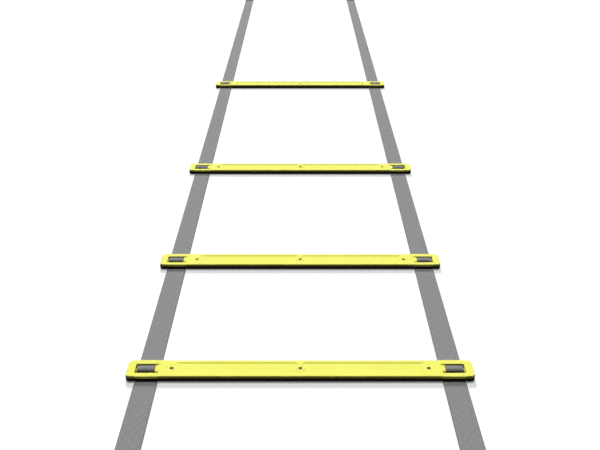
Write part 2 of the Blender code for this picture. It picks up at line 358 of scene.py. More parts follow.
def yellow_plastic():
    """Injection moulded yellow: even colour, fine grain, faint scuffs along the bar."""
    finish = new_finish("yellow plastic")
    deep = (0.966, 0.958, 0.164, 1)
    light = (0.980, 0.975, 0.188, 1)
    scuffed = (0.62, 0.58, 0.16, 1)
    place = finish.place()
    cloud = finish.noise(place, 14.0, 3.0)
    grain = finish.noise(place, 1500.0, 2.0)
    streaks = finish.noise(finish.stretch(place, (30.0, 420.0, 420.0)), 1.0, 4.0, 0.6)
    scuffs = streaks.fade(0.60, 0.74) * finish.noise(place, 55.0, 2.0).fade(0.45, 0.70)
    tone = finish.blend(cloud.fade(0.35, 0.65), deep, light)
    worn = finish.blend(scuffs * 0.18, tone, scuffed)
    roughness = 0.74 + grain * 0.08 + scuffs * 0.08 + cloud * 0.05
    normal = finish.bump(grain * 0.5 - scuffs * 0.5, 0.00006)
    finish.surface(Base_Color=worn, Roughness=roughness, Specular_IOR_Level=0.12, Normal=normal)
    return finish.owner


def shade_black_base():
    """Near-black base whose black is painted shade for the dark band under each rung's near side, with a
    fine stipple and a little floor dust.
    """
    finish = new_finish("shade black base")
    # Painted shade: near black, for the shade along each rung's near side
    clean = (0.004, 0.004, 0.0035, 1)
    dusty = (0.014, 0.0135, 0.012, 1)
    place = finish.place()
    stipple = finish.noise(place, 1100.0, 3.0, 0.6)
    dust = finish.noise(place, 60.0, 5.0, 0.65).fade(0.50, 0.80)
    colour = finish.blend(dust * 0.5, clean, dusty)
    roughness = 0.68 + stipple * 0.12 + dust * 0.12
    normal = finish.bump(stipple, 0.00015)
    finish.surface(Base_Color=colour, Roughness=roughness, Specular_IOR_Level=0.2, Normal=normal)
    return finish.owner


def dark_rivet():
    """Dark rivet whose olive tint is painted shade of yellow plastic down a hole, brushed lighter by
    handling.
    """
    finish = new_finish("dark rivet")
    # Painted shade: the dark olive stands for yellow plastic in shade inside a hole
    olive_hole_shade = (0.040, 0.035, 0.006, 1)
    worn = (0.085, 0.075, 0.020, 1)
    place = finish.place()
    speckle = finish.noise(place, 1600.0, 4.0, 0.6)
    rub_and_slot_shade = finish.noise(finish.stretch(place, (300.0, 2200.0, 300.0)), 1.0, 3.0).fade(0.52, 0.70)
    colour = finish.blend(rub_and_slot_shade * 0.5, olive_hole_shade, worn)
    roughness = 0.55 + speckle * 0.20
    normal = finish.bump(speckle, 0.00005)
    finish.surface(Base_Color=colour, Roughness=roughness, Metallic=0.1, Normal=normal)
    return finish.owner


def grey_webbing():
    """Woven webbing: ribs, picks, light spots in offset rows, and painted shade where it dives steeply into
    the slots.
    """
    finish = new_finish("grey webbing")
    dark = (0.185, 0.186, 0.193, 1)
    light = (0.360, 0.361, 0.370, 1)
    # Painted shade: near black, for the shade in a rung's slots
    slot_shade_black = (0.012, 0.012, 0.013, 1)
    weave = finish.node("ShaderNodeUVMap", {"uv_map": WEAVE_MAP})
    across = finish.node("ShaderNodeSeparateXYZ", {}, {0: weave}, output="X") / MM
    along = finish.node("ShaderNodeSeparateXYZ", {}, {0: weave}, output="Y") / MM
    column = across / SPOT_COLUMN + COLUMN_SHIFT
    odd_column = (column.floor() * 0.5).fraction() * 2.0
    row = along / SPOT_ROW + odd_column * 0.5
    to_side = abs(column.fraction() - 0.5) * SPOT_COLUMN
    to_end = abs(row.fraction() - 0.5) * SPOT_ROW
    spot_reach = (to_side / SPOT_HALF_WIDTH) ** 2.0 + (to_end / SPOT_HALF_LENGTH) ** 2.0
    spots = spot_reach.fade(1.0, 0.25)
    ribs = abs(((across + to_end * RIB_LEAN) * (math.pi / RIB_PITCH)).sine())
    picks = abs((along * (math.pi / PICK_PITCH)).sine())
    threads = ribs * 0.65 + picks * 0.35
    fuzz = finish.noise(finish.stretch(weave, (900.0, 500.0, 1.0)), 1.0, 3.0, 0.6)
    edge = abs(across).fade(DARK_EDGE_START, DARK_EDGE_END)
    shade = threads * 0.30 + fuzz * 0.50 + spots * 0.12 - edge * 0.12
    woven = finish.blend(shade.fade(0.0, 0.95), dark, light)
    # Painted shade: darkens the webbing where it dives steeply into a rung's slots
    rub_and_slot_shade = finish.node("ShaderNodeAttribute", {"attribute_name": SLOT_SHADE_MAP}, output="Fac")
    slot_shaded = finish.blend(rub_and_slot_shade.fade(0.06, 0.42) * 0.93, woven, slot_shade_black)
    roughness = 0.80 + fuzz * 0.12
    normal = finish.bump(threads * 0.6 + spots * 0.35 + fuzz * 0.25, 0.00035)
    finish.surface(Base_Color=slot_shaded, Roughness=roughness, Normal=normal)
    return finish.owner


def hem_thread():
    """Twisted polyester thread, a shade darker than the webbing."""
    finish = new_finish("hem thread")
    dark = (0.10, 0.10, 0.105, 1)
    light = (0.19, 0.19, 0.195, 1)
    fuzz = finish.noise(finish.place(), 2500.0, 3.0, 0.6)
    colour = finish.blend(fuzz, dark, light)
    roughness = 0.60 + fuzz * 0.15
    finish.surface(Base_Color=colour, Roughness=roughness, Normal=finish.bump(fuzz, 0.00005))
    return finish.owner


# Mesh helpers
def finished_mesh(name, build, sharp_degrees=38):
    """Mesh from a bmesh, normals outwards, smooth apart from its sharp edges."""
    bmesh.ops.recalc_face_normals(build, faces=build.faces)
    for face in build.faces:
        face.smooth = True
    for line in build.edges:
        if len(line.link_faces) == 2:
            line.smooth = line.calc_face_angle(0) < math.radians(sharp_degrees)
    mesh = bpy.data.meshes.new(name)
    build.to_mesh(mesh)
    build.free()
    return mesh


def add_piece(name, mesh, body, finish):
    item = bpy.data.objects.new(name, mesh)
    bpy.context.scene.collection.objects.link(item)
    mesh.materials.clear()
    mesh.materials.append(finish)
    if body:
        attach(item, body)
    return item


def moved_copy(mesh, name, offset):
    copy = mesh.copy()
    copy.name = name
    copy.transform(Matrix.Translation(offset))
    return copy


class Plate:
    """A flat moulding on a grid: a top and a bottom face, openings, round holes and a rolled rim."""

    def __init__(self, xs, ys, place, normal, top, bottom, openings, holes, rim):
        self.xs = xs
        self.ys = ys
        self.place = place
        self.normal = normal
        self.top = top
        self.bottom = bottom
        self.openings = openings
        self.holes = holes
        self.rim = rim
        self.build = bmesh.new()
        self.corners = {}

    def vertex(self, level, i, j):
        key = (level, i, j)
        if key not in self.corners:
            x, y = self.place(self.xs[i], self.ys[j])
            height = self.top if level else self.bottom
            self.corners[key] = self.build.verts.new((x, y, height(x, y)))
        return self.corners[key]

    def cell(self, i, j):
        """What fills a cell of the grid: solid, an opening, a round hole's square or nothing."""
        if not (0 <= i < len(self.xs) - 1 and 0 <= j < len(self.ys) - 1):
            return "outside"
        x = (self.xs[i] + self.xs[i + 1]) / 2
        y = (self.ys[j] + self.ys[j + 1]) / 2
        for x0, x1, y0, y1 in self.openings:
            if x0 < x < x1 and y0 < y < y1:
                return "opening"
        for centre, _, _ in self.holes:
            if abs(x - centre) < HOLE_SQUARE and abs(y) < HOLE_SQUARE:
                return "hole"
        return "solid"

    def fill_cells(self):
        """Top and bottom faces, and the walls towards openings."""
        near, right, far, left = (0, -1), (1, 0), (0, 1), (-1, 0)
        for i in range(len(self.xs) - 1):
            for j in range(len(self.ys) - 1):
                if self.cell(i, j) != "solid":
                    continue
                ring = ((i, j), (i + 1, j), (i + 1, j + 1), (i, j + 1))
                self.build.faces.new([self.vertex(1, *c) for c in ring])
                self.build.faces.new([self.vertex(0, *c) for c in reversed(ring)])
                for k, (di, dj) in enumerate((near, right, far, left)):
                    if self.cell(i + di, j + dj) == "opening":
                        a = ring[k]
                        b = ring[(k + 1) % len(ring)]
                        wall = [self.vertex(1, *b), self.vertex(1, *a)]
                        wall += [self.vertex(0, *a), self.vertex(0, *b)]
                        self.build.faces.new(wall)

    def bridge(self, loop_a, loop_b):
        for k in range(len(loop_a)):
            n = (k + 1) % len(loop_a)
            self.build.faces.new((loop_a[k], loop_a[n], loop_b[n], loop_b[k]))

    def square_loop(self, centre):
        """Grid corners round a hole's square."""
        columns = [i for i, x in enumerate(self.xs) if abs(x - centre) < HOLE_SQUARE + ON_LINE]
        rows = [j for j, y in enumerate(self.ys) if abs(y) < HOLE_SQUARE + ON_LINE]
        loop = [(i, rows[0]) for i in columns]
        loop += [(columns[-1], j) for j in rows[1:]]
        loop += [(i, rows[-1]) for i in reversed(columns[:-1])]
        loop += [(columns[0], j) for j in reversed(rows[1:-1])]
        return loop

    def fill_holes(self):
        """Rings from each hole's square inwards and down, joined through the plate."""
        for centre, top_rings, bottom_rings in self.holes:
            loop = self.square_loop(centre)
            ends = []
            for level, rings, height in ((1, top_rings, self.top), (0, bottom_rings, self.bottom)):
                last = [self.vertex(level, i, j) for i, j in loop]
                turns = [math.atan2(v.co.y, v.co.x - centre) for v in last]
                for radius, z in rings:
                    ring = []
                    for turn in turns:
                        x = centre + radius * math.cos(turn)
                        y = radius * math.sin(turn)
                        level_z = height(x, y) if z is None else z
                        ring.append(self.build.verts.new((x, y, level_z)))
                    self.bridge(last, ring)
                    last = ring
                ends.append(last)
            self.bridge(*ends)

    def roll_rim(self):
        """Rings round the outline, from the top face over the rim to the bottom face."""
        last_i = len(self.xs) - 1
        last_j = len(self.ys) - 1
        loop = [(i, 0) for i in range(last_i)]
        loop += [(last_i, j) for j in range(last_j)]
        loop += [(i, last_j) for i in range(last_i, 0, -1)]
        loop += [(0, j) for j in range(last_j, 0, -1)]
        last = [self.vertex(1, i, j) for i, j in loop]
        for offset, height in self.rim:
            ring = []
            for i, j in loop:
                x, y = self.place(self.xs[i], self.ys[j])
                nx, ny = self.normal(self.xs[i], self.ys[j])
                x += nx * offset
                y += ny * offset
                ring.append(self.build.verts.new((x, y, height(x, y))))
            self.bridge(last, ring)
            last = ring
        self.bridge(last, [self.vertex(0, i, j) for i, j in loop])

    def mesh(self, name):
        self.fill_cells()
        self.fill_holes()
        self.roll_rim()
        return finished_mesh(name, self.build)


# Mouldings
def lines(start, steps):
    """Grid lines at these millimetres from start."""
    return [start + step * MM for step in steps]


def level(z):
    """Height that is the same everywhere."""
    return lambda x, y: z


def mirrored(values):
    return [-v for v in reversed(values) if v > 0] + list(values)


def bulge_share(x):
    """How much of their swelling the rails have at x: all of it beside a window."""
    away = abs(x)
    rise = ease(WINDOW_IN - BULGE_RAMP, WINDOW_IN, away)
    fall = ease(WINDOW_OUT, WINDOW_OUT - BULGE_RAMP, away)
    return min(rise, fall)


def plan(inset, bulge):
    """How grid places and normals follow a rung's rounded outline, drawn in by inset."""
    half_y = HALF_DEPTH - inset
    radius = CORNER - inset
    corner_x = HALF_LENGTH - CORNER
    corner_y = HALF_DEPTH - CORNER
    end_x = HALF_LENGTH - inset

    def edge_y(x):
        over = clamp((abs(x) - corner_x) / radius)
        return corner_y + radius * math.sqrt(max(0.0, 1 - over * over))

    def place(x, y):
        if abs(x) > corner_x:
            return x, y * edge_y(x) / half_y
        outwards = clamp((abs(y) - BULGE_START_Y) / (half_y - BULGE_START_Y))
        return x, y + math.copysign(bulge * bulge_share(x) * outwards, y)

    def normal(x, y):
        if abs(x) > end_x - ON_LINE:
            return math.copysign(1, x), 0
        over = clamp((abs(x) - corner_x) / radius)
        return math.copysign(over, x), math.copysign(math.sqrt(1 - over * over), y)

    return place, normal


def corner_lines(inset, steps=7):
    """Grid lines over a rounded corner, closer together towards the rung's end."""
    radius = CORNER - inset
    start = HALF_LENGTH - CORNER
    return [start + radius * math.sin(math.pi / 2 * i / steps) for i in range(steps + 1)]


def rect_distance(x, y, x0, x1, half_y, corner):
    """Distance outside a rounded rectangle, negative inside."""
    dx = abs(x - (x0 + x1) / 2) - (x1 - x0) / 2 + corner
    dy = abs(y) - half_y + corner
    return math.hypot(max(dx, 0), max(dy, 0)) + min(max(dx, dy), 0) - corner


def slot_distance(x, y):
    """Distance outside the nearer slot of a window."""
    dx = max(WINDOW_IN - x, x - WINDOW_OUT, 0)
    dy = max(SLOT_IN - y, y - SLOT_OUT, 0)
    return math.hypot(dx, dy)


def crossbar_top(y):
    """Height of a crossbar's round back, highest near its far slot."""
    reach = SLOT_IN - CREST_Y if y > CREST_Y else CROSSBAR_NEAR + CREST_Y
    power = FAR_POWER if y > CREST_Y else NEAR_POWER
    share = clamp(abs(y - CREST_Y) / reach)
    return CROSSBAR_FOOT_Z + (CROSSBAR_Z - CROSSBAR_FOOT_Z) * (1 - share ** power) ** (1 / power)


def crown_drop(share):
    """How far a crossbar, and the webbing on it, fall off at this share of the half width."""
    return CROWN * clamp(abs(share)) ** CROWN_POWER


def recess_share(x, y):
    """1 in the recessed panel, 0 outside it and on the rivet pads."""
    panel = rect_distance(x, y, PANEL_MIDDLE, PANEL_END, PANEL_SIDE, PANEL_CORNER)
    recess = ease(PANEL_SLOPE / 2, -PANEL_SLOPE / 2, panel)
    recess *= ease(PANEL_END, PANEL_END - PANEL_END_SLOPE, x)
    return recess * ease(PAD, PAD + PAD_SLOPE, rivet_distance(x, y))


def rivet_distance(x, y):
    """Distance from the nearer rivet of a bar's right half."""
    return min(math.hypot(x, y), math.hypot(x - RIVET_X, y))


def bar_top(x, y):
    """Height of a bar's top: the crossbar, or the rails with their panel, pads and rounded slots."""
    x = abs(x)
    if TAB_END + ON_LINE < x < WINDOW_OUT + ON_LINE and abs(y) < SLOT_IN + ON_LINE:
        return crossbar_top(y) - crown_drop((x - WINDOW_MIDDLE) / WINDOW_HALF)
    near_rail = y < -SLOT_OUT + ON_LINE and WINDOW_IN < x < WINDOW_OUT
    y = abs(y)
    recess = recess_share(x, y)
    groove = 1 - clamp(abs(rivet_distance(x, y) - PAD) / PAD_GROOVE)
    z = TOP_Z - PANEL_DEPTH * recess - PAD_GROOVE_DEPTH * groove * (1 - recess)
    round_over = NEAR_RAIL_ROUND if near_rail else SLOT_ROUND
    drop = NEAR_RAIL_DROP if near_rail else SLOT_DROP
    near = clamp(1 - slot_distance(x, y) / round_over)
    return z - drop * (1 - math.sqrt(1 - near * near))


def bar_bottom(x, y):
    """Height of a bar's underside, lower at the crossbars and their roots."""
    over_window = WINDOW_IN - CROSSBAR_ROOT < abs(x) < WINDOW_OUT + CROSSBAR_ROOT
    return CROSSBAR_LOW_Z if over_window and abs(y) < SLOT_IN + ON_LINE else BAR_LOW_Z


def bar_lines():
    """Grid of a bar, mirrored both ways: fine at its holes, its window and its panel's sides."""
    xs = lines(0, (0, 1.1, 2.2, 3.15, 3.65, 4.6, 5.5, 6.5, 8, 12, 30, 55, 80, 105, 130, 148, 157))
    xs += lines(RIVET_X, (-6.5, -5.5, -4.6, -3.8, -3.25, -2.2, -1.1))
    xs += lines(RIVET_X, (0, 1.1, 2.2, 3.4, 4.5, 5.5, 6.5))
    xs += lines(WINDOW_IN, (-6, -3, -1.4, -0.7, -0.45, -0.25, -0.1, 0, 0.6, 1.5, 2.5, 3.5))
    xs += lines(TAB_END, (0, 0.15, 1.8, 5.8, 9.8, 13.8, 17.8, 20.8))
    xs += lines(WINDOW_OUT, (-3, -2, -1, -0.4, 0, 0.1, 0.25, 0.45, 0.7, 1.4, 2.2))
    xs += corner_lines(RIM_INSET)
    ys = lines(0, (0, 1.1, 2.2, 3.4, 4.5, 5.1, 5.6, 6.0, 6.3, 6.5))
    ys += lines(SLOT_OUT, (0, 0.1, 0.25, 0.45, 0.7, 1.1, 1.6, 2.0))
    ys += lines(PANEL_SIDE, (-0.3, -0.2, -0.1, 0, 0.1, 0.2, 0.3, 1.0, 2.2, 3.3))
    ys += [HALF_DEPTH - RIM_INSET]
    return mirrored(xs), mirrored(ys)


def bar_mesh():
    xs, ys = bar_lines()
    place, normal = plan(RIM_INSET, BULGE)
    rim = []
    for turn in (20, 40, 60, 78):
        sweep = math.radians(turn)
        z = TOP_Z - EDGE * (1 - math.cos(sweep))
        rim.append((EDGE * math.sin(sweep), level(z)))
    rim.append((RIM_INSET, level(BAR_LOW_Z)))
    openings = []
    for side in (1, -1):
        for start, end, y0, y1 in (
            (WINDOW_IN, WINDOW_OUT, SLOT_IN, SLOT_OUT),
            (WINDOW_IN, TAB_END, -SLOT_OUT, -SLOT_IN),
            (TAB_END, WINDOW_OUT, -SLOT_OUT, -CROSSBAR_NEAR),
        ):
            openings.append((*sorted((side * start, side * end)), y0, y1))
    top_rings = [(radius * MM, None) for radius in PAD_RINGS_MM]
    top_rings += [(radius * MM, TOP_Z - depth * MM) for radius, depth in BAR_HOLE_EDGE_MM]
    top_rings += [(HOLE, BAR_HOLE_Z), (SHANK_HOLE, BAR_HOLE_Z)]
    bottom_rings = [(SHANK_HOLE, BAR_LOW_Z)]
    holes = [(x, top_rings, bottom_rings) for x in (-RIVET_X, 0, RIVET_X)]
    plate = Plate(xs, ys, place, normal, bar_top, bar_bottom, openings, holes, rim)
    return plate.mesh("rung bar")


def base_channel(x, y):
    return CHANNEL_IN < abs(x) < CHANNEL_OUT and abs(y) > OPENING_Y - MM


def level_over_channels(z):
    """Height of a ring of the rim, lifted where it crosses a strap channel."""
    return lambda x, y: CHANNEL_Z + z / 10 if base_channel(x, y) else z


def base_bottom(x, y):
    """Underside: strap channels, and grip ribs across the rest."""
    if base_channel(x, y):
        return CHANNEL_Z
    if abs(x) > GRIP_END_X or abs(y) > GRIP_END_Y:
        return 0.0
    rib = math.cos(2 * math.pi * x / GRIP_PITCH)
    return GRIP_DEPTH * ease(GRIP_SLOPE_SHARE, -GRIP_SLOPE_SHARE, rib)


def base_lines():
    """Grid of a base, mirrored both ways: a pair of lines at each flank of a grip rib."""
    holes = (0, RIVET_X)
    clear = HOLE_SQUARE + 0.2 * MM
    xs = [GRIP_END_X]
    for i in range(round(2 * GRIP_END_X / GRIP_PITCH)):
        for x in lines(GRIP_PITCH / 2 * (i + 0.5), (-0.12, 0.12)):
            if all(abs(x - centre) > clear for centre in holes):
                xs.append(x)
    for centre in holes:
        xs += lines(centre, (-6.5, -5.2, -3.9, -2.6, -1.3, 0, 1.3, 2.6, 3.9, 5.2, 6.5))
    xs += lines(OPENING_IN, (-0.1, 0)) + lines(CHANNEL_IN, (-0.1, 0, 0.1, 7.8, 15.8, 23.8))
    xs += lines(CHANNEL_OUT, (-0.1, 0, 0.1)) + lines(OPENING_OUT, (-0.1, 0))
    xs = sorted({round(x, 7) for x in xs if x >= 0})
    xs += corner_lines(BASE_INSET)
    ys = lines(0, (0, 1.3, 2.6, 3.9, 5.2, 6.5, 8.4)) + lines(OPENING_Y, (0, 2.4))
    ys += lines(GRIP_END_Y, (-0.1, 0.1, 0.8)) + [HALF_DEPTH - BASE_INSET]
    return mirrored(xs), mirrored(ys)


def base_mesh():
    xs, ys = base_lines()
    place, normal = plan(BASE_INSET, 0)
    rim = []
    for inwards, depth in BASE_EDGE_MM:
        rim.append((BASE_INSET - inwards * MM, level(BASE_TOP_Z - depth * MM)))
    for turn in (0, 18, 36, 54, 72):
        sweep = math.radians(turn)
        z = BASE_BILGE * (1 - math.sin(sweep))
        rim.append((BASE_INSET * math.cos(sweep), level_over_channels(z)))
    openings = []
    for start, end in ((OPENING_IN, OPENING_OUT), (-OPENING_OUT, -OPENING_IN)):
        openings.append((start, end, -OPENING_Y, OPENING_Y))
    top_rings = [(BASE_TOP_RING, BASE_TOP_Z), (SHANK_HOLE, BASE_TOP_Z)]
    bottom_rings = [(radius * MM, depth * MM) for radius, depth in BASE_HOLE_EDGE_MM]
    bottom_rings += [(HOLE, BASE_HOLE_Z), (SHANK_HOLE, BASE_HOLE_Z)]
    holes = [(x, top_rings, bottom_rings) for x in (-RIVET_X, 0, RIVET_X)]
    plate = Plate(xs, ys, place, normal, level(BASE_TOP_Z), base_bottom, openings, holes, rim)
    return plate.mesh("rung base")


def rivet_profile():
    """Radius and height round a rivet, from the dimple in its foot to the top of its dome."""
    foot_top = RIVET_FOOT_Z + RIVET_FLANGE
    head_low = RIVET_TOP_Z - RIVET_FLANGE
    dome_low = RIVET_TOP_Z - RIVET_DOME
    profile = [(0.0, RIVET_FOOT_Z + DIMPLE_DEPTH), (DIMPLE, RIVET_FOOT_Z + DIMPLE_SIDE)]
    profile += [(DIMPLE_EDGE, RIVET_FOOT_Z), (RIVET_HEAD - RIVET_LIP, RIVET_FOOT_Z)]
    profile += [(RIVET_HEAD, RIVET_FOOT_Z + RIVET_LIP), (RIVET_HEAD, foot_top)]
    profile += [(RIVET_SHANK, foot_top), (RIVET_SHANK, head_low)]
    profile += [(RIVET_HEAD, head_low), (RIVET_HEAD, dome_low)]
    for turn in (12, 28, 45, 62, 76):
        sweep = math.radians(turn)
        profile.append((RIVET_HEAD * math.cos(sweep), dome_low + RIVET_DOME * math.sin(sweep)))
    profile.append((0.0, RIVET_TOP_Z))
    return profile


def rivet_mesh(sides=28):
    """Domed rivet, turned: a foot in the base, a shank and a low round head."""
    build = bmesh.new()
    turns = [2 * math.pi * k / sides for k in range(sides)]
    rings = []
    for radius, z in rivet_profile():
        if radius == 0:
            rings.append([build.verts.new((0, 0, z))])
        else:
            ring = [(radius * math.cos(turn), radius * math.sin(turn), z) for turn in turns]
            rings.append([build.verts.new(corner) for corner in ring])
    for low, high in zip(rings, rings[1:]):
        for k in range(sides):
            n = (k + 1) % sides
            corners = [low[k % len(low)], low[n % len(low)], high[n % len(high)], high[k % len(high)]]
            build.faces.new(list(dict.fromkeys(corners)))
    return finished_mesh("rivet", build)


# Webbing
def band_section():
    """Round a strap's section: share of the half width, a step from there, share of the half thickness."""
    points = []
    for edge in (1, -1):
        for step in range(7):
            turn = math.radians(90 - 30 * step)
            points.append((edge, -edge * SELVEDGE * (1 - math.cos(turn)), edge * math.sin(turn)))
        for step in range(1, 8):
            share = edge * (1 - step / 4)
            points.append((share, -share * SELVEDGE, -edge))
    return points


BAND_SECTION = band_section()


def band_mesh(name, side, stations):
    """Strap swept along stations.

    A station is y, z, the lean of its upper side in degrees, its inner edge, its path length and its crown.
    """
    build = bmesh.new()
    weave = build.loops.layers.uv.new(WEAVE_MAP)
    rub_and_slot_shade = build.verts.layers.float.new(SLOT_SHADE_MAP)
    places = {}
    rings = []
    for y, z, lean, inner, path, crown in stations:
        middle = side * (inner + STRAP_OUT) / 2
        half = (STRAP_OUT - inner) / 2
        gathered = (inner - STRAP_IN) / (STRAP_WINDOW_IN - STRAP_IN)
        steep = 1 - abs(math.sin(math.radians(lean)))
        dy = math.cos(math.radians(lean))
        dz = math.sin(math.radians(lean))
        ring = []
        for share, step, height in BAND_SECTION:
            across = share * half + step
            proud = STRAP_HALF * height - crown * crown_drop(across / half)
            vertex = build.verts.new((middle + across, y + dy * proud, z + dz * proud))
            # Painted shade: strongest where the webbing is drawn in through a window and steep
            vertex[rub_and_slot_shade] = gathered * steep
            places[vertex] = (across / half * STRAP_WIDTH / 2, path)
            ring.append(vertex)
        rings.append(ring)
    for low, high in zip(rings, rings[1:]):
        for k in range(len(low)):
            n = (k + 1) % len(low)
            build.faces.new((low[k], low[n], high[n], high[k]))
    build.faces.new(list(reversed(rings[0])))
    build.faces.new(rings[-1])
    for face in build.faces:
        for corner in face.loops:
            corner[weave].uv = places[corner.vert]
    return finished_mesh(name, build, sharp_degrees=60)


def arc_path(centre, radius, start, end):
    """Points (y, z) and the turn in degrees along an arc."""
    points = []
    for turn in between(start, end, TURN_STEPS):
        y = centre[0] + radius * math.cos(math.radians(turn))
        z = centre[1] + radius * math.sin(math.radians(turn))
        points.append((y, z, turn))
    return points


def path_lengths(points):
    """How far along a path each of its points (y, z, ...) lies."""
    lengths = [0.0]
    for last, point in zip(points, points[1:]):
        lengths.append(lengths[-1] + math.hypot(point[0] - last[0], point[1] - last[1]))
    return lengths


def loop_half(way, reach, power):
    """One half of the way through a rung, far (way 1) or near (-1): (y, z, lean, inner edge, crown)."""
    points = []
    rise = ARCH_TOP_Z - ARCH_FOOT_Z
    for turn in between(0, math.pi / 2, ARCH_STEPS):
        sine = math.sin(turn)
        cosine = max(math.cos(turn), 0)
        share = sine ** (2 / power)
        z = ARCH_FOOT_Z + rise * cosine ** (2 / power)
        lean = math.degrees(math.atan2(cosine ** (2 - 2 / power) * reach, sine ** (2 - 2 / power) * rise))
        crown = 1 - ease(CROWN_FADE_SHARE, 1.0, share)
        points.append((CREST_Y + way * share * reach, z, lean, STRAP_WINDOW_IN, crown))
    bend = ARCH_FOOT_Z - STRAP_HALF
    for y, z, turn in arc_path((reach + bend, ARCH_FOOT_Z), bend, 180, 270)[1:]:
        points.append((CREST_Y + way * y, z, turn - 180, STRAP_WINDOW_IN, 0))
    for y, inner in SPREAD:
        points.append((way * y, STRAP_HALF, 90, inner, 0))
    if way < 0:
        points = [(y, z, 180 - lean, inner, crown) for y, z, lean, inner, crown in points]
    return points


def loop_stations():
    """Webbing through a rung, from its near side over the crossbar to its far side."""
    near = loop_half(-1, ARCH_NEAR, NEAR_POWER)
    far = loop_half(1, ARCH_FAR, FAR_POWER)
    points = list(reversed(near[1:])) + far
    stations = []
    for (y, z, lean, inner, crown), path in zip(points, path_lengths(points)):
        stations.append((y, z, lean, inner, path, crown))
    return stations


LOOP = loop_stations()
LOOP_EXTRA = LOOP[-1][4] - 2 * LOOP_REACH


def flat_run(y0, y1, extra, rows=1):
    """Webbing flat on the floor; extra is what the loops before it add to its path."""
    return [(y, STRAP_HALF, 90, STRAP_IN, y + extra, 0) for y in between(y0, y1, rows)]


def strap_piece(name, side, stations, body, node, finish):
    item = add_piece(name, band_mesh(name, side, stations), body, finish)
    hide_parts(node)
    return item


def crease_reach(number):
    """How far the webbing bends to either side of a crease."""
    if number > RUNG_COUNT:
        return CREASE_REACH_TAIL
    return CREASE_REACH_UP if number % 2 else CREASE_REACH_DOWN


def hem_stations(end_y, inwards, extra):
    """Folded hem: along the bottom to the end, round it and back over the top."""
    bend = STRAP_HALF + HEM_GAP / 2
    middle = STRAP_HALF + bend
    points = [(HEM, STRAP_HALF, 90), (HEM_TURN_START, STRAP_HALF, 90)]
    for reach, z, turn in arc_path((middle, middle), bend, 270, 90)[1:-1]:
        points.append((reach, z, turn - 180))
    points += [(HEM_TURN_START, middle + bend, -90), (HEM, middle + bend, -90)]
    stations = []
    for (reach, z, lean), length in zip(points, path_lengths(points)):
        lean = lean if inwards > 0 else 180 - lean
        path = end_y + extra + inwards * (HEM - length)
        stations.append((end_y + inwards * reach, z, lean, STRAP_IN, path, 0))
    return stations


def stitch_places(end_y, inwards):
    """Middles (x from the strap's middle, y) and run (across or along) of a hem's box of stitches."""
    rows = [end_y + inwards * reach for reach in (STITCH_BOX_START, STITCH_BOX_END)]
    half = STRAP_WIDTH / 2 - STITCH_EDGE
    across = round(2 * half / STITCH_PITCH)
    along = round((STITCH_BOX_END - STITCH_BOX_START) / STITCH_PITCH)
    places = []
    for y in rows:
        places += [(-half + 2 * half * (i + 0.5) / across, y, True) for i in range(across)]
    for x in (-half, half):
        places += [(x, rows[0] + (rows[1] - rows[0]) * (i + 0.5) / along, False) for i in range(along)]
    return places


def stitch_mesh(name, side, end_y, inwards):
    """Thread of a sewn hem: short raised stitches over the top layer."""
    build = bmesh.new()
    middle = side * (STRAP_IN + STRAP_OUT) / 2
    top = 4 * STRAP_HALF + HEM_GAP
    half = STITCH_LENGTH / 2
    for x, y, is_across in stitch_places(end_y, inwards):
        spread = (half, THREAD, THREAD_HEIGHT, 1) if is_across else (THREAD, half, THREAD_HEIGHT, 1)
        place = Matrix.Translation((middle + x, y, top)) @ Matrix.Diagonal(spread)
        bmesh.ops.create_uvsphere(build, u_segments=8, v_segments=6, radius=1, matrix=place)
    return finished_mesh(name, build, sharp_degrees=60)


def add_strap_section(side_name, number, finish):
    """Webbing over one rung's crossbar, and the flat runs from there to the creases on both sides."""
    side = SIDES[side_name]
    node = f"strap_{side_name}_{number}"
    rung = f"rung_{number}"
    y = rung_y(number)
    extra = (number - 1) * LOOP_EXTRA
    start = y - LOOP_REACH + extra
    loop = [(y + a, z, lean, inner, start + path, crown) for a, z, lean, inner, path, crown in LOOP]
    strap_piece(f"webbing_loop_{side_name}_{number}", side, loop, rung, node, finish)
    near = NEAR_END_Y + HEM if number == 1 else crease_y(number - 1) + crease_reach(number - 1)
    far = crease_y(number) - crease_reach(number)
    stations = flat_run(near, y - LOOP_REACH, extra)
    run = strap_piece(f"webbing_near_{side_name}_{number}", side, stations, None, node, finish)
    y - LOOP_REACH
    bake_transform(run)
    stations = flat_run(y + LOOP_REACH, far, extra + LOOP_EXTRA)
    run = strap_piece(f"webbing_far_{side_name}_{number}", side, stations, None, node, finish)
    y + LOOP_REACH
    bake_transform(run)


def add_crease(side_name, number, finish):
    """Short run of webbing across a storage crease."""
    y = crease_y(number)
    reach = crease_reach(number)
    stations = flat_run(y - reach, y + reach, min(number, RUNG_COUNT) * LOOP_EXTRA, CREASE_ROWS)
    node = f"strap_{side_name}_{number}" if number <= RUNG_COUNT else f"tail_{side_name}_1"
    name = f"webbing_crease_{side_name}_{number}"
    piece = strap_piece(name, SIDES[side_name], stations, None, node, finish)
    y - reach
    y + reach
    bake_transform(piece)


def add_tail(side_name, finish):
    """Spare webbing past the last rung's section, on both sides of its crease."""
    extra = RUNG_COUNT * LOOP_EXTRA
    start = crease_y(RUNG_COUNT) + crease_reach(RUNG_COUNT)
    middle = crease_y(RUNG_COUNT + 1)
    reach = crease_reach(RUNG_COUNT + 1)
    for number, y0, y1 in ((1, start, middle - reach), (2, middle + reach, FAR_END_Y - HEM)):
        name = f"webbing_tail_{side_name}_{number}"
        node = f"tail_{side_name}_{number}"
        strap_piece(name, SIDES[side_name], flat_run(y0, y1, extra), f"tail_{number}", node, finish)


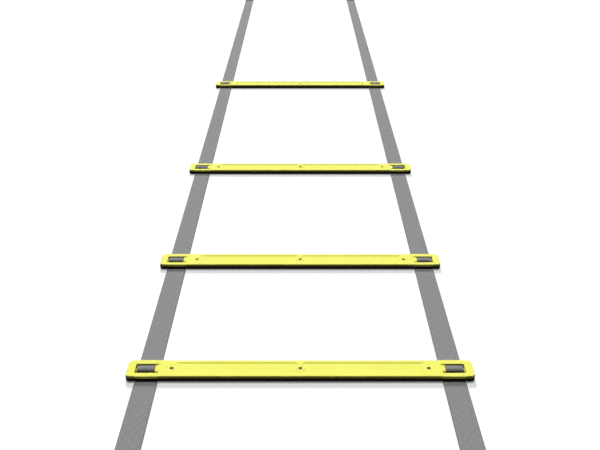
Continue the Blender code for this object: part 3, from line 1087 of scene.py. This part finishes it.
def add_hems(side_name, finish, thread):
    """Folded hem at each end of a strap, and its stitches."""
    side = SIDES[side_name]
    for end_name, end_y, inwards, extra, body, node in (
        ("near", NEAR_END_Y, 1, 0, "section_1", f"strap_{side_name}_1"),
        ("far", FAR_END_Y, -1, RUNG_COUNT * LOOP_EXTRA, "tail_2", f"tail_{side_name}_2"),
    ):
        stations = hem_stations(end_y, inwards, extra)
        strap_piece(f"webbing_hem_{side_name}_{end_name}", side, stations, body, node, finish)
        name = f"hem_stitching_{side_name}_{end_name}"
        add_piece(name, stitch_mesh(name, side, end_y, inwards), body, thread)


def add_straps(finish, thread):
    for side_name in SIDES:
        for number in range(1, RUNG_COUNT + 1):
            add_strap_section(side_name, number, finish)
        for number in range(1, RUNG_COUNT + 2):
            add_crease(side_name, number, finish)
        add_tail(side_name, finish)
        add_hems(side_name, finish, thread)


def add_rungs(yellow, black, dark):
    """Bar, base and three rivets of every rung."""
    bar = bar_mesh()
    base = base_mesh()
    rivet = rivet_mesh()
    for number in range(1, RUNG_COUNT + 1):
        body = f"rung_{number}"
        y = rung_y(number)
        name = f"yellow_bar_{number}"
        piece = add_piece(name, moved_copy(bar, name, (0, y, 0)), body, yellow)
        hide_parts(f"rung_bar_{number}")
        # The base's near-black finish is painted shade under the rung's near side
        name = f"shade_base_{number}"
        piece = add_piece(name, moved_copy(base, name, (0, y, 0)), body, black)
        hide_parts(f"rung_base_{number}")
        for side_name, x in (("left", -RIVET_X), ("middle", 0), ("right", RIVET_X)):
            name = f"dark_rivet_{side_name}_{number}"
            piece = add_piece(name, moved_copy(rivet, name, (x, y, 0)), body, dark)
            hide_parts(f"rivet_{side_name}_{number}")


# Studio
def add_camera():
    data = bpy.data.cameras.new("camera")
    data.sensor_width = 36.0
    data.lens = CAMERA_LENS
    camera = bpy.data.objects.new("camera", data)
    camera.location = CAMERA_PLACE
    camera.rotation_euler = (math.radians(CAMERA_TILT), 0.0, 0.0)
    bpy.context.scene.collection.objects.link(camera)
    bpy.context.scene.camera = camera


def pale_floor():
    """White to the camera, with the ladder's shadow; greyer to the light it gives back."""
    finish = new_finish("pale floor")
    grey = (0.05, 0.05, 0.05, 1)
    white = (0.90, 0.90, 0.90, 1)
    seen = finish.node("ShaderNodeLightPath", output="Is Camera Ray")
    glossy = finish.node("ShaderNodeLightPath", output="Is Glossy Ray")
    through = finish.node("ShaderNodeLightPath", output="Is Transmission Ray")
    direct = seen.largest(glossy).largest(through)
    matt = finish.node("ShaderNodeBsdfDiffuse", {}, {"Color": finish.blend(direct, grey, white)})
    sockets = {"Color": (1, 1, 1, 1), "Strength": direct * FLOOR_GLOW}
    glow = finish.node("ShaderNodeEmission", {}, sockets)
    both = finish.node("ShaderNodeAddShader", {}, {0: matt, 1: glow})
    finish.node("ShaderNodeOutputMaterial", {}, {"Surface": both})
    return finish.owner


def add_floor():
    build = bmesh.new()
    build.faces.new([build.verts.new((x, y, FLOOR_Z)) for x, y in FLOOR_CORNERS])
    mesh = bpy.data.meshes.new("floor")
    build.to_mesh(mesh)
    build.free()
    floor = bpy.data.objects.new("floor", mesh)
    mesh.materials.append(pale_floor())
    bpy.context.scene.collection.objects.link(floor)


def add_sun(name, strength, spread, azimuth, elevation):
    """Soft lamp; azimuth is where it comes from, 0 from the camera's side, 90 from the right."""
    data = bpy.data.lights.new(name, "SUN")
    data.energy = strength
    data.angle = math.radians(spread)
    lamp = bpy.data.objects.new(name, data)
    lamp.rotation_euler = (math.radians(90 - elevation), 0.0, math.radians(azimuth))
    bpy.context.scene.collection.objects.link(lamp)


def add_world():
    """White behind the floor to the camera, and a little light from all round."""
    finish = Finish(bpy.data.worlds.new("studio"))
    seen = finish.node("ShaderNodeLightPath", output="Is Camera Ray")
    white = (1, 1, 1, 1)
    fill = finish.node("ShaderNodeBackground", {}, {"Color": white, "Strength": FILL_LIGHT})
    backdrop = finish.node("ShaderNodeBackground", {}, {"Color": white, "Strength": 1.0})
    both = finish.node("ShaderNodeMixShader", {}, {0: seen, 1: fill, 2: backdrop})
    finish.node("ShaderNodeOutputWorld", {}, {"Surface": both})
    bpy.context.scene.world = finish.owner


add_camera()
add_floor()
add_world()
add_sun("key from behind", strength=2.25, spread=13.0, azimuth=186.0, elevation=34.0)
add_sun("high from behind", strength=1.69, spread=16.0, azimuth=182.0, elevation=74.0)

add_rungs(yellow_plastic(), shade_black_base(), dark_rivet())
add_straps(grey_webbing(), hem_thread())

bpy.context.scene.view_settings.view_transform = "Standard"
